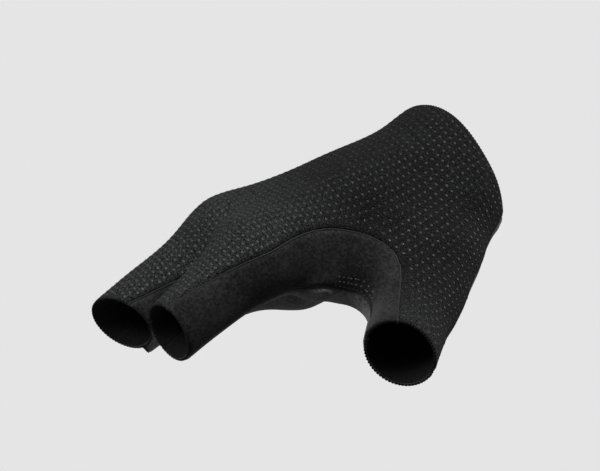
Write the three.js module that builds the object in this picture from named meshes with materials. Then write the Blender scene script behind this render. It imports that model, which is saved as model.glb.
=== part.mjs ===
// Short-finger cycling glove for the right hand, in the shape that it has when it is worn.
// Millimetres. The origin is the centre of the wrist opening, +Y runs to the fingertips,
// +Z comes out of the back of the hand and -X is the thumb side.
import * as THREE from 'three';

// Sizes of the hand form that the glove takes
const PALM_LENGTH = 77;
const PALM_WIDTH = 84;
const PALM_DEPTH = 25;
const WRIST_DEPTH = 41;
const FINGER_WIDTH = 24;
const THUMB_WIDTH = 23;
const WEB_DEPTH = 20;
const FOLD_DEPTH = 9;

// Sizes of the cloth
const WALL = 1.2;
const SEAM_GAP = 0.3;
const FINGER_SLEEVE = 46;
const THUMB_SLEEVE = 31;
const CUFF_SCOOP = 12.7;
const TONGUE_LENGTH = 3.5;
const TONGUE_WIDTH = 32;
const GUSSET_WIDTH = 18.5;
const FOURCHETTE_WIDTH = 11;

// Widths of the forearm and of the bones between two rows of joints, as shares of their neighbours'
const FOREARM = 1.1;
const BRIDGE = 0.94;

// How softly the flesh of two bones runs together
const PALM_BLEND = 3.2;
const FINGER_BLEND = 3;
const CROTCH_BLEND = 0.8;

// Sizes of the net that the cloth is drawn on
const NET_ACROSS = 3.3;
const NET_ALONG = 7.2;
const NET_UP = 3.8;
const NET_EXTRA = 4.4;
const GAP_BAND = 2.2;
const SNAP = 1.1;

const UP = new THREE.Vector3(0, 0, 1);
const THUMB_BACK = new THREE.Vector3(-0.67, -0.41, 0.62).normalize();
const WEB_BACK = THUMB_BACK.clone().add(UP).normalize();
const THUMB_WEB_SIDE = new THREE.Vector3(-0.1, 0.48, 0.87);

// Joints of the palm: shares of the palm's width, length and depth; girth is a share of the depth
const PALM_JOINTS = {
  forearm_radial: { across: -0.122, along: -0.877, up: 0.352 },
  forearm_ulnar: { across: 0.136, along: -0.958, up: 0.54 },
  wrist_radial: { across: -0.076, along: -0.218, up: 0.028 },
  wrist_ulnar: { across: 0.182, along: -0.3, up: 0.216 },
  carpal_radial: { across: -0.161, along: -0.07, up: 0.34, girth: 0.608 },
  carpal_ulnar: { across: 0.165, along: -0.045, up: 0.068, girth: 0.572 },
  index: { across: -0.337, along: 1.008, up: 0.16, girth: 0.476 },
  middle: { across: -0.1, along: 0.997, up: 0.41, girth: 0.492 },
  ring: { across: 0.186, along: 0.973, up: 0.104, girth: 0.48 },
  little: { across: 0.414, along: 0.848, up: -0.244, girth: 0.436 },
  heel: { across: 0.214, along: 0.091, up: -0.32, girth: 0.6 },
  heel_end: { across: 0.364, along: 0.558, up: -0.48, girth: 0.508 },
  thumb_root: { across: -0.271, along: 0.012, up: -0.108, girth: 0.604 },
  thumb: { across: -0.482, along: 0.448, up: -1.112, girth: 0.464 },
};

// Sleeves: angles in degrees, length is a share of FINGER_SLEEVE, base and hem are widths as shares
// of FINGER_WIDTH, lean_side and lean_up tilt the hem's plane off square
const FINGERS = {
  index: { splay: -2.5, droop: 17.9, length: 0.85, base: 0.93, hem: 0.75, lean_side: -0.15, lean_up: 0.2 },
  middle: { splay: 6.4, droop: 16.5, length: 1.01, base: 0.96, hem: 0.84, lean_side: -0.48, lean_up: -0.12 },
  ring: { splay: 10, droop: 17.5, length: 0.85, base: 0.88, hem: 0.81, lean_side: 0, lean_up: 0 },
  little: { splay: 17, droop: 23.8, length: 0.69, base: 0.84, hem: 0.75, lean_side: 0, lean_up: 0 },
};
const THUMB = { splay: -47.1, droop: 18.3, base: 1, hem: 0.965, lean_side: 0.12, lean_up: 0.11 };
const BONE_PAST_HEM = 1.3;

// Cuff: where its edge stands as a share of the scoop, how round the scoop's middle is,
// where the tongue stands as a share of the palm's width, and the depths, as shares of the palm's,
// between which it comes in
const CUFF_MIDDLE = 0.2;
const CUFF_ROUNDING = 0.15;
const TONGUE_PLACE = -0.2;
const TONGUE_DEPTHS = [0.15, 0.6];

// The web of skin between thumb and index: bones from a share of the thumb's palm bone to a share
// of the index's, thick is a share of WEB_DEPTH
const WEB_BONES = [
  { on_thumb: 0.55, on_index: 0.5, thick: 1.3 },
  { on_thumb: 0.85, on_index: 0.8, thick: 1 },
];

// The palm's cloth is drawn into a fold that runs from the web into the hollow of the hand: shares
// of the palm's sizes, girth is a share of FOLD_DEPTH
const PALM_FOLD = [
  { across: -0.37, along: 0.8, up: -0.44, girth: 1 },
  { across: -0.18, along: 0.61, up: -0.78, girth: 0.8 },
  { across: -0.02, along: 0.4, up: -0.36, girth: 0.7 },
];

// Path of the web gusset between index and thumb: shares of the palm's sizes,
// half is a share of GUSSET_WIDTH
const WEB_PATH = [
  { across: -0.476, along: 1.101, up: -0.12, half: 0.47 },
  { across: -0.452, along: 0.842, up: -0.08, half: 0.51 },
  { across: -0.446, along: 0.699, up: -0.22, half: 0.535 },
  { across: -0.488, along: 0.582, up: -0.54, half: 0.5 },
];
const GUSSET_AT_INDEX_HEM = { side: -0.94, up: -0.05, half: 0.54 };
const GUSSET_ON_THUMB = [
  { share: 0.48, half: 0.33 },
  { share: 1.1, half: 0.42 },
];

// A strip between two fingers is straight to the first share of the sleeve and ends past the hem
const FOURCHETTE_STRAIGHT = 0.9;
const FOURCHETTE_END = 1.5;

const degrees = THREE.MathUtils.degToRad;
const point = (x, y, z) => new THREE.Vector3(x, y, z);

function palmPoint(row) {
  return point(row.across * PALM_WIDTH, row.along * PALM_LENGTH, row.up * PALM_DEPTH);
}

// A bone is a tapered capsule; back is the direction of the back of the hand there
function bone(a, b, startRadius, endRadius, back) {
  return { a, b, startRadius, endRadius, back, axis: b.clone().sub(a) };
}

function palmBone(from, to, back = UP) {
  const [a, b] = [PALM_JOINTS[from], PALM_JOINTS[to]];
  return bone(palmPoint(a), palmPoint(b), a.girth * PALM_DEPTH, b.girth * PALM_DEPTH, back);
}

function heading(splay, droop) {
  const level = Math.cos(degrees(droop));
  const [ahead, sideways] = [Math.cos(degrees(splay)) * level, Math.sin(degrees(splay)) * level];
  return point(sideways, ahead, -Math.sin(degrees(droop)));
}

// A sleeve is one finger's bone with its hem: a plane that leans off square to the bone
function sleeve(root, row, length, width, back) {
  const a = palmPoint(PALM_JOINTS[root]);
  const along = heading(row.splay, row.droop);
  const b = a.clone().addScaledVector(along, length * BONE_PAST_HEM);
  const endWidth = THREE.MathUtils.lerp(row.base, row.hem, BONE_PAST_HEM) * width;
  const limb = bone(a, b, row.base * width / 2, endWidth / 2, back);
  const side = along.clone().cross(UP).normalize();
  const top = side.clone().cross(along);
  const hemNormal = along.clone().addScaledVector(side, row.lean_side).addScaledVector(top, row.lean_up);
  const hemPoint = a.clone().addScaledVector(along, length);
  return { limb, side, top, hemNormal: hemNormal.normalize(), hemPoint, hemRadius: row.hem * width / 2 };
}

const sleeves = Object.entries(FINGERS).map(([name, row]) =>
  sleeve(name, row, row.length * FINGER_SLEEVE, FINGER_WIDTH, UP));
const thumbSleeve = sleeve('thumb', THUMB, THUMB_SLEEVE, THUMB_WIDTH, THUMB_BACK);

function wristBones() {
  return ['radial', 'ulnar'].flatMap((side) => {
    const wrist = palmPoint(PALM_JOINTS[`wrist_${side}`]);
    const forearm = palmPoint(PALM_JOINTS[`forearm_${side}`]);
    const carpal = PALM_JOINTS[`carpal_${side}`];
    const radius = WRIST_DEPTH / 2;
    return [
      bone(forearm, wrist, radius * FOREARM, radius, UP),
      bone(wrist, palmPoint(carpal), radius, carpal.girth * PALM_DEPTH, UP),
    ];
  });
}

function webBones() {
  const [root, thumb, carpal, index] = ['thumb_root', 'thumb', 'carpal_radial', 'index']
    .map((name) => palmPoint(PALM_JOINTS[name]));
  return WEB_BONES.map((row) => {
    const radius = row.thick * WEB_DEPTH / 2;
    return bone(root.clone().lerp(thumb, row.on_thumb), carpal.clone().lerp(index, row.on_index),
      radius, radius, WEB_BACK);
  });
}

function foldBones() {
  const radius = ({ girth }) => girth * FOLD_DEPTH / 2;
  return PALM_FOLD.slice(1).map((next, i) => {
    const row = PALM_FOLD[i];
    return bone(palmPoint(row), palmPoint(next), radius(row), radius(next), WEB_BACK);
  });
}

// Bones that lie between two rows of joints, so that the back and the palm stay even there
function bridgeBones() {
  const joint = (name) => {
    const row = PALM_JOINTS[name];
    return { at: palmPoint(row), radius: row.girth * PALM_DEPTH };
  };
  const [radial, ulnar, middle, ring] = ['carpal_radial', 'carpal_ulnar', 'middle', 'ring'].map(joint);
  const halfway = (a, b) => ({ at: a.at.clone().lerp(b.at, 0.5), radius: (a.radius + b.radius) / 2 });
  const [carpal, knuckle] = [halfway(radial, ulnar), halfway(middle, ring)];
  const [first, second] = ['wrist_radial', 'wrist_ulnar'].map((name) => palmPoint(PALM_JOINTS[name]));
  return [
    bone(radial.at, ulnar.at, radial.radius * BRIDGE, ulnar.radius * BRIDGE, UP),
    bone(carpal.at, knuckle.at, carpal.radius * BRIDGE, knuckle.radius * BRIDGE, UP),
    bone(first, second, WRIST_DEPTH / 2 * BRIDGE, WRIST_DEPTH / 2 * BRIDGE, UP),
  ];
}

const palmBones = [
  ...wristBones(),
  ...bridgeBones(),
  ...foldBones(),
  palmBone('carpal_radial', 'index'),
  palmBone('carpal_radial', 'middle'),
  palmBone('carpal_ulnar', 'ring'),
  palmBone('carpal_ulnar', 'little'),
  palmBone('heel', 'heel_end'),
  palmBone('heel_end', 'little'),
  palmBone('carpal_radial', 'thumb_root', WEB_BACK),
  palmBone('thumb_root', 'thumb', THUMB_BACK),
  ...webBones(),
  thumbSleeve.limb,
];

// Distance from a point to a bone's surface, less than zero inside it
function boneDistance(p, { a, axis, startRadius, endRadius }) {
  const [x, y, z] = [p.x - a.x, p.y - a.y, p.z - a.z];
  const raw = (x * axis.x + y * axis.y + z * axis.z) / axis.lengthSq();
  const share = Math.min(1, Math.max(0, raw));
  const reach = Math.hypot(x - share * axis.x, y - share * axis.y, z - share * axis.z);
  return reach - startRadius - share * (endRadius - startRadius);
}

function smoothLeast(values, softness) {
  const least = Math.min(...values);
  const sum = values.reduce((total, value) => total + Math.exp((least - value) / softness), 0);
  return least - softness * Math.log(sum);
}

// Distance to the hand: the palm's bones run together softly, and so do fingers and palm,
// but two fingers meet in a tight crotch
function handDistance(p) {
  const palm = smoothLeast(palmBones.map((limb) => boneDistance(p, limb)), PALM_BLEND);
  const fingers = smoothLeast(sleeves.map(({ limb }) => boneDistance(p, limb)), CROTCH_BLEND);
  return smoothLeast([palm, fingers], FINGER_BLEND);
}

const outside = (p) => handDistance(p) - WALL;

// Slope of a field at a point, by central differences
function slope(field, p, step = 0.2) {
  const axes = ['x', 'y', 'z'].map((axis) => {
    const [high, low] = [p.clone(), p.clone()];
    high[axis] += step;
    low[axis] -= step;
    return (field(high) - field(low)) / (2 * step);
  });
  return point(...axes);
}

function moveToZero(field, p, rounds = 3) {
  for (let round = 0; round < rounds; round += 1) {
    const gradient = slope(field, p);
    p.addScaledVector(gradient, -field(p) / Math.max(gradient.lengthSq(), 0.05));
  }
  return p;
}

// Distance from a point to a path of points, each with its own half width
function pathDistance(p, stations) {
  const legs = stations.slice(1).map((next, i) =>
    bone(stations[i].at, next.at, stations[i].half, next.half));
  return Math.min(...legs.map((leg) => boneDistance(p, leg)));
}

function surfaceAlong(from, direction) {
  let [near, far] = [0, 3 * FINGER_SLEEVE];
  for (let round = 0; round < 24; round += 1) {
    const middle = (near + far) / 2;
    const inside = outside(from.clone().addScaledVector(direction, middle)) < 0;
    [near, far] = inside ? [middle, far] : [near, middle];
  }
  return from.clone().addScaledVector(direction, near);
}

// Stations of the web gusset: from the index hem over the web to the thumb hem
function gussetStations() {
  const { limb, side, top, hemPoint, hemRadius } = sleeves[0];
  const radius = hemRadius + WALL;
  const hem = GUSSET_AT_INDEX_HEM;
  const beyond = limb.axis.clone().normalize().multiplyScalar(radius);
  const atHem = hemPoint.clone()
    .addScaledVector(side, hem.side * radius)
    .addScaledVector(top, hem.up * radius);
  const web = WEB_PATH.map((row) => ({ at: palmPoint(row), half: row.half * GUSSET_WIDTH }));
  const thumb = GUSSET_ON_THUMB.map((row) => ({
    at: thumbSleeve.limb.a.clone()
      .lerp(thumbSleeve.hemPoint, row.share)
      .addScaledVector(THUMB_WEB_SIDE, thumbSleeve.hemRadius),
    half: row.half * GUSSET_WIDTH,
  }));
  const half = hem.half * GUSSET_WIDTH;
  return [{ at: atHem.clone().add(beyond), half }, { at: atHem, half }, ...web, ...thumb];
}

// Stations of the strip between two fingers: down one side, round the crotch and up the other
function fourchetteStations(first, second) {
  const half = FOURCHETTE_WIDTH / 2;
  const alongSide = ({ limb, side, hemPoint, hemRadius }, share, sign) => limb.a.clone()
    .lerp(hemPoint, share)
    .addScaledVector(side, sign * (hemRadius + WALL));
  const root = first.limb.a.clone().lerp(second.limb.a, 0.5);
  const ahead = first.limb.axis.clone().normalize().add(second.limb.axis.clone().normalize()).normalize();
  const crotch = surfaceAlong(root, ahead);
  const places = [
    alongSide(first, FOURCHETTE_END, 1),
    alongSide(first, FOURCHETTE_STRAIGHT, 1),
    crotch,
    alongSide(second, FOURCHETTE_STRAIGHT, -1),
    alongSide(second, FOURCHETTE_END, -1),
  ];
  return places.map((at) => ({ at, half }));
}

// Height over the seam between back and palm: above zero on the back of the hand
function backHeight(p) {
  const limbs = [...palmBones, ...sleeves.map(({ limb }) => limb)];
  const distances = limbs.map((limb) => boneDistance(p, limb));
  const least = Math.min(...distances);
  let [total, weights] = [0, 0];
  limbs.forEach(({ a, axis, back }, i) => {
    const offset = p.clone().sub(a);
    const share = Math.min(1, Math.max(0, offset.dot(axis) / axis.lengthSq()));
    const weight = Math.exp((least - distances[i]) / PALM_BLEND);
    total += weight * offset.addScaledVector(axis, -share).dot(back);
    weights += weight;
  });
  return total / weights;
}

// Above zero beyond the hem of the nearest sleeve
function pastHem(p) {
  const all = [...sleeves, thumbSleeve];
  const distances = all.map(({ limb }) => boneDistance(p, limb));
  const { hemNormal, hemPoint } = all[distances.indexOf(Math.min(...distances))];
  return p.clone().sub(hemPoint).dot(hemNormal);
}

// Above zero on the forearm's side of the cuff: its edge is scooped out over the middle of the back
// and of the palm, and a round tongue at the heel of the hand runs further on
function pastCuff(p) {
  const sideways = Math.hypot(p.x / (PALM_WIDTH / 2), CUFF_ROUNDING);
  const fromTongue = (p.x - TONGUE_PLACE * PALM_WIDTH) / (TONGUE_WIDTH / 2);
  const palmSide = THREE.MathUtils.smoothstep(-p.z / PALM_DEPTH, ...TONGUE_DEPTHS);
  const tongue = TONGUE_LENGTH * Math.exp(-fromTongue * fromTongue) * palmSide;
  return CUFF_SCOOP * (CUFF_MIDDLE - sideways) - tongue - p.y;
}

// Corners and edges of a net cell, and the edges round each of its faces
const CORNERS = [0, 1, 2, 3, 4, 5, 6, 7].map((i) => [i & 1, (i >> 1) & 1, (i >> 2) & 1]);
const EDGES = CORNERS.flatMap((corner, a) => [1, 2, 4].filter((bit) => !(a & bit)).map((bit) => [a, a | bit]));
const FACES = [0, 1, 2].flatMap((axis) => [0, 1].map((side) =>
  EDGES.map((edge, i) => i).filter((i) => EDGES[i].every((corner) => CORNERS[corner][axis] === side))));

// Edges of a cell that the surface crosses, in groups: one group for each sheet of surface
function sheetsInCell(inside) {
  const group = EDGES.map(([a, b], i) => (inside[a] !== inside[b] ? i : -1));
  const join = (first, second) => {
    const [keep, drop] = [group[first], group[second]];
    group.forEach((value, i) => { if (value === drop) group[i] = keep; });
  };
  FACES.forEach((face) => {
    const crossed = face.filter((i) => inside[EDGES[i][0]] !== inside[EDGES[i][1]]);
    if (crossed.length === 2) join(crossed[0], crossed[1]);
    if (crossed.length === 4) {
      const corners = [...new Set(face.flatMap((i) => EDGES[i]))].filter((corner) => inside[corner]);
      corners.forEach((corner) => join(...face.filter((i) => EDGES[i].includes(corner))));
    }
  });
  return group;
}

// Middle of the gap between two fingers at a height: the axes' places are held behind the knuckles
function gapMiddle(first, second, y, z) {
  const [a, b] = [first, second].map(({ limb }) =>
    limb.a.clone().addScaledVector(limb.axis, Math.max(0, (y - limb.a.y) / limb.axis.y)));
  const across = b.clone().sub(a);
  return (a.x + b.x) / 2 - (z - (a.z + b.z) / 2) * across.z / across.x;
}

// Place of a point of the net: its columns stand closer together in the gaps between fingers
function netPlace(p) {
  const shift = sleeves.slice(1).reduce((total, next, i) => {
    const middle = gapMiddle(sleeves[i], next, p.y, p.z) + (i + 0.5) * NET_EXTRA;
    const share = (p.x - middle) / (GAP_BAND + NET_EXTRA) + 0.5;
    return total + NET_EXTRA * Math.min(1, Math.max(0, share));
  }, 0);
  return p.setX(p.x - shift);
}

// A net of triangles on the zero surface of a field, one vertex for each sheet in each cell
function netOnSurface(field, low, high, spacing) {
  const counts = ['x', 'y', 'z'].map((axis) => Math.ceil((high[axis] - low[axis]) / spacing[axis]));
  const index = (i, j, k) => (i * (counts[1] + 1) + j) * (counts[2] + 1) + k;
  const place = (i, j, k) => netPlace(point(i, j, k).multiply(spacing).add(low));
  const values = new Float64Array((counts[0] + 1) * (counts[1] + 1) * (counts[2] + 1));
  const forEachPoint = (visit, short = 0) => {
    for (let i = 0; i <= counts[0] - short; i += 1) {
      for (let j = 0; j <= counts[1] - short; j += 1) {
        for (let k = 0; k <= counts[2] - short; k += 1) visit(i, j, k);
      }
    }
  };
  forEachPoint((i, j, k) => { values[index(i, j, k)] = field(place(i, j, k)); });

  const vertices = [];
  const vertexOnEdge = new Map();
  forEachPoint((i, j, k) => {
    const at = CORNERS.map(([x, y, z]) => [i + x, j + y, k + z]);
    const inside = at.map((corner) => values[index(...corner)] < 0);
    if (inside.every((value) => value === inside[0])) return;
    const group = sheetsInCell(inside);
    new Set(group.filter((value) => value >= 0)).forEach((sheet) => {
      const edges = EDGES.filter((edge, n) => group[n] === sheet);
      const middle = point(0, 0, 0);
      edges.forEach(([a, b]) => {
        const [va, vb] = [values[index(...at[a])], values[index(...at[b])]];
        middle.add(place(...at[a]).lerp(place(...at[b]), va / (va - vb)));
      });
      vertices.push(moveToZero(field, middle.divideScalar(edges.length)));
      edges.forEach(([a, b]) => {
        const key = `${index(...at[a])} ${index(...at[b])}`;
        const corner = { cell: [i, j, k], vertex: vertices.length - 1 };
        vertexOnEdge.set(key, [...(vertexOnEdge.get(key) ?? []), corner]);
      });
    });
  }, 1);

  const triangles = [];
  vertexOnEdge.forEach((around, key) => {
    if (around.length !== 4) return;
    const [a, b] = key.split(' ').map(Number);
    const axis = [index(1, 0, 0), index(0, 1, 0), 1].indexOf(b - a);
    const [u, v] = [(axis + 1) % 3, (axis + 2) % 3];
    const last = [0, 1, 2].map((n) => Math.max(...around.map(({ cell }) => cell[n])));
    const corner = (du, dv) => around
      .find(({ cell }) => cell[u] === last[u] - du && cell[v] === last[v] - dv).vertex;
    const loop = [corner(1, 1), corner(0, 1), corner(0, 0), corner(1, 0)];
    if (values[a] >= 0) loop.reverse();
    const shortFirst = vertices[loop[0]].distanceTo(vertices[loop[2]])
      < vertices[loop[1]].distanceTo(vertices[loop[3]]);
    const order = shortFirst ? [0, 1, 2, 0, 2, 3] : [0, 1, 3, 1, 2, 3];
    for (let n = 0; n < 6; n += 3) triangles.push(order.slice(n, n + 3).map((i) => loop[i]));
  });
  return { vertices, triangles };
}

// Cuts a net along the zero line of a field: vertices close to the line are moved onto it first,
// so that no thin slivers are left. Returns the triangles below zero and those above it.
function cutNet(net, triangles, field, locked) {
  const { vertices } = net;
  const value = new Map();
  new Set(triangles.flat()).forEach((i) => {
    let height = field(vertices[i]);
    if (Math.abs(height) < SNAP && !locked.has(i)) {
      const gradient = slope(field, vertices[i]);
      const normal = slope(outside, vertices[i]).normalize();
      gradient.addScaledVector(normal, -gradient.dot(normal));
      vertices[i].addScaledVector(gradient, -height / Math.max(gradient.lengthSq(), 0.2));
      moveToZero(outside, vertices[i], 2);
      locked.add(i);
      height = 0;
    }
    value.set(i, height);
  });
  const onEdge = new Map();
  const crossing = (i, j) => {
    const key = i < j ? `${i} ${j}` : `${j} ${i}`;
    if (!onEdge.has(key)) {
      const share = value.get(i) / (value.get(i) - value.get(j));
      vertices.push(moveToZero(outside, vertices[i].clone().lerp(vertices[j], share), 2));
      locked.add(vertices.length - 1);
      onEdge.set(key, vertices.length - 1);
    }
    return onEdge.get(key);
  };
  const parts = { below: [], above: [] };
  triangles.forEach((triangle) => {
    ['below', 'above'].forEach((name) => {
      const sign = name === 'below' ? -1 : 1;
      const kept = triangle.flatMap((i, n) => {
        const j = triangle[(n + 1) % 3];
        const [here, there] = [sign * value.get(i), sign * value.get(j)];
        const corner = here >= 0 ? [i] : [];
        return here * there < 0 ? [...corner, crossing(i, j)] : corner;
      });
      if (!triangle.some((i) => sign * value.get(i) > 0)) return;
      for (let n = 2; n < kept.length; n += 1) parts[name].push([kept[0], kept[n - 1], kept[n]]);
    });
  });
  return parts;
}

// Edges that only one triangle of a panel uses, in the direction in which it uses them
function rimEdges(triangles) {
  const used = new Set(triangles.flatMap((t) => t.map((i, n) => `${i} ${t[(n + 1) % 3]}`)));
  return [...used].map((key) => key.split(' ').map(Number)).filter(([i, j]) => !used.has(`${j} ${i}`));
}

// A panel of cloth: the net is the outer face, its rim is drawn back by half the seam's gap,
// the inner face lies one wall below, and a narrow band closes the rim
function panel(name, net, triangles, color, roughness) {
  const used = [...new Set(triangles.flat())];
  const order = new Map(used.map((vertex, n) => [vertex, n]));
  const outer = used.map((i) => net.vertices[i].clone());
  const normals = outer.map((p) => slope(outside, p, 0.5).normalize());
  const rim = rimEdges(triangles).map((edge) => edge.map((i) => order.get(i)));
  const pull = outer.map(() => []);
  rim.forEach(([i, j]) => {
    const inward = normals[i].clone().cross(outer[j].clone().sub(outer[i])).normalize();
    [i, j].forEach((n) => pull[n].push(inward));
  });
  pull.forEach((directions, i) => {
    if (!directions.length) return;
    const mean = directions.reduce((sum, d) => sum.add(d), point(0, 0, 0)).normalize();
    const squareness = Math.max(0.5, mean.dot(directions[0]));
    outer[i].addScaledVector(mean, SEAM_GAP / 2 / squareness);
  });
  const inner = outer.map((p, i) => p.clone().addScaledVector(normals[i], -WALL));
  const faces = triangles.map((t) => t.map((i) => order.get(i)));
  const count = outer.length;
  const indices = [
    ...faces.flat(),
    ...faces.flatMap(([i, j, k]) => [i + count, k + count, j + count]),
    ...rim.flatMap(([i, j]) => [j, i, i + count, j, i + count, j + count]),
  ];
  const geometry = new THREE.BufferGeometry();
  const positions = [...outer, ...inner].flatMap((p) => p.toArray());
  geometry.setAttribute('position', new THREE.Float32BufferAttribute(positions, 3));
  geometry.setIndex(indices);
  geometry.computeVertexNormals();
  const mesh = new THREE.Mesh(geometry, new THREE.MeshStandardMaterial({ color, roughness }));
  mesh.name = name;
  return mesh;
}

// Box of the net: round every bone, from a little behind the cuff on
function netBox() {
  const box = new THREE.Box3();
  const limbs = [...palmBones, ...sleeves.map(({ limb }) => limb)];
  limbs.forEach(({ a, b, startRadius, endRadius }) => {
    [[a, startRadius], [b, endRadius]].forEach(([end, radius]) => {
      box.expandByPoint(end.clone().addScalar(radius)).expandByPoint(end.clone().subScalar(radius));
    });
  });
  box.expandByScalar(WALL + PALM_BLEND);
  box.min.setY(-CUFF_SCOOP - 3 * NET_ALONG);
  box.max.x += (sleeves.length - 1) * NET_EXTRA;
  return box;
}

function buildGlove() {
  const { min, max } = netBox();
  const net = netOnSurface(outside, min, max, point(NET_ACROSS, NET_ALONG, NET_UP));
  const locked = new Set();
  const cut = (triangles, field) => cutNet(net, triangles, field, locked);
  const trimmed = cut(cut(net.triangles, pastCuff).below, pastHem).below;

  const gussetPath = gussetStations();
  const web = cut(trimmed, (p) => pathDistance(p, gussetPath));
  const strips = [];
  const rest = ['index_middle', 'middle_ring', 'ring_little'].reduce((triangles, name, i) => {
    const path = fourchetteStations(sleeves[i], sleeves[i + 1]);
    const parts = cut(triangles, (p) => pathDistance(p, path));
    strips.push([`fourchette_${name}`, parts.below]);
    return parts.above;
  }, web.above);
  const sides = cut(rest, backHeight);

  const group = new THREE.Group();
  group.add(panel('back_panel', net, sides.above, 0x191a1c, 0.75));
  group.add(panel('palm_panel', net, sides.below, 0x3c3e40, 0.95));
  group.add(panel('thumb_web_gusset', net, web.below, 0x101113, 0.85));
  strips.forEach(([name, triangles]) => group.add(panel(name, net, triangles, 0x141517, 0.85)));
  return group;
}

const group = buildGlove();

export default group;
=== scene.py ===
# %% [markdown]
# A right short-finger cycling glove, in the shape that it has when it is worn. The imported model
# gives the frame: the origin is the centre of the cuff's opening, +Y runs to the finger sleeves,
# +Z comes out of the back and -X is the thumb's side.

# %% Load the frame
import math
from collections import namedtuple

import bpy
import numpy as np
from mathutils import Matrix, Vector


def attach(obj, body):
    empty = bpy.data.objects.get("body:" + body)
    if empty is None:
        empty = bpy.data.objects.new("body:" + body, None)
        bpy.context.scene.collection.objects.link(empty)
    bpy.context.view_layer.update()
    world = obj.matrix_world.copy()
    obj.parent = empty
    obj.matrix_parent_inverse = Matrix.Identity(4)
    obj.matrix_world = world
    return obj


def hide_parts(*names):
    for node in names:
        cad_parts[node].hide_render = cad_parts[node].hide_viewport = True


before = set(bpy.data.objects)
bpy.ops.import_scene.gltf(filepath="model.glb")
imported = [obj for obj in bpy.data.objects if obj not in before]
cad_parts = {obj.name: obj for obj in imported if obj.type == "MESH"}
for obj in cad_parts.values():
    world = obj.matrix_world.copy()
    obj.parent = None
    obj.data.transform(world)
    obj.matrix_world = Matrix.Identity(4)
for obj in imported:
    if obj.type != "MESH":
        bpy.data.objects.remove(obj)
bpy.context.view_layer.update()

MM = 0.001
TURN = 2 * math.pi
TINY = 1e-9
print("nodes:", sorted(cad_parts))

# %% [markdown]
# The camera looks at the glove's thumb side with a long lens, a little from above and rolled to one
# side. It could be placed by hand in the viewport. Here its place is worked out from a view
# direction, a distance and a roll, so that each value can be read and changed by itself.

# %% Camera
VIEW_TARGET = np.array([-18.0, 49.8, -3.0])
VIEW_AZIMUTH, VIEW_HEIGHT, VIEW_ROLL = map(math.radians, (20.917, 7.083, -19.335))
VIEW_DISTANCE = 750.0
FOCAL_PIXELS, IMAGE_WIDTH = 2234.0, 600
VIEW_SHIFT = (24.08, 11.92)


def make_camera():
    """Axes: back points from the target to the eye; right and up are level, then turned by the roll."""
    back = np.array([-math.cos(VIEW_HEIGHT) * math.cos(VIEW_AZIMUTH),
                     math.cos(VIEW_HEIGHT) * math.sin(VIEW_AZIMUTH), math.sin(VIEW_HEIGHT)])
    level = np.cross([0, 0, 1], back)
    level /= np.linalg.norm(level)
    upright = np.cross(back, level)
    right = math.cos(VIEW_ROLL) * level + math.sin(VIEW_ROLL) * upright
    up = np.cross(back, right)
    scale = FOCAL_PIXELS / VIEW_DISTANCE
    eye = VIEW_TARGET + back * VIEW_DISTANCE
    eye = eye - right * VIEW_SHIFT[0] / scale + up * VIEW_SHIFT[1] / scale
    data = bpy.data.cameras.new("camera")
    data.sensor_width = 36
    data.lens = FOCAL_PIXELS / IMAGE_WIDTH * data.sensor_width
    data.clip_start, data.clip_end = 0.01, 30
    camera = bpy.data.objects.new("camera", data)
    bpy.context.scene.collection.objects.link(camera)
    turn = Matrix(np.column_stack([right, up, back]).tolist()).to_4x4()
    camera.matrix_world = Matrix.Translation(Vector(eye * MM)) @ turn
    bpy.context.scene.camera = camera
    print("eye:", np.round(eye), "right:", right.round(4), "up:", up.round(4))


make_camera()

# %% [markdown]
# A worn glove has the form of what fills it. That form could be sculpted, but here it is a set of
# tapered capsules, each called a bone, that run together softly, because then one formula gives the
# cloth, its seams and its wall. The tables repeat those of the solid model, in millimetres: joints
# are shares of the palm's width, length and depth.

# %% Sizes and tables of the worn form
PALM_LENGTH, PALM_WIDTH, PALM_DEPTH, WRIST_DEPTH = 77, 84, 25, 41
FINGER_WIDTH, THUMB_WIDTH, WEB_DEPTH, FOLD_DEPTH = 24, 23, 20, 9
WALL, SEAM_GAP = 1.2, 0.3
FINGER_SLEEVE, THUMB_SLEEVE = 46, 31
CUFF_SCOOP, TONGUE_LENGTH, TONGUE_WIDTH = 12.7, 3.5, 32
GUSSET_WIDTH, FOURCHETTE_WIDTH = 18.5, 11
FOREARM, BRIDGE = 1.1, 0.94
PALM_BLEND, FINGER_BLEND, CROTCH_BLEND = 3.2, 3, 0.8
PALM_SCALE = np.array([PALM_WIDTH, PALM_LENGTH, PALM_DEPTH])

# across, along, up, girth
PALM_JOINTS = {
    "forearm_radial": (-0.122, -0.877, 0.352, 0),
    "forearm_ulnar": (0.136, -0.958, 0.54, 0),
    "wrist_radial": (-0.076, -0.218, 0.028, 0),
    "wrist_ulnar": (0.182, -0.3, 0.216, 0),
    "carpal_radial": (-0.161, -0.07, 0.34, 0.608),
    "carpal_ulnar": (0.165, -0.045, 0.068, 0.572),
    "index": (-0.337, 1.008, 0.16, 0.476),
    "middle": (-0.1, 0.997, 0.41, 0.492),
    "ring": (0.186, 0.973, 0.104, 0.48),
    "little": (0.414, 0.848, -0.244, 0.436),
    "heel": (0.214, 0.091, -0.32, 0.6),
    "heel_end": (0.364, 0.558, -0.48, 0.508),
    "thumb_root": (-0.271, 0.012, -0.108, 0.604),
    "thumb": (-0.482, 0.448, -1.112, 0.464),
}
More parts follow.
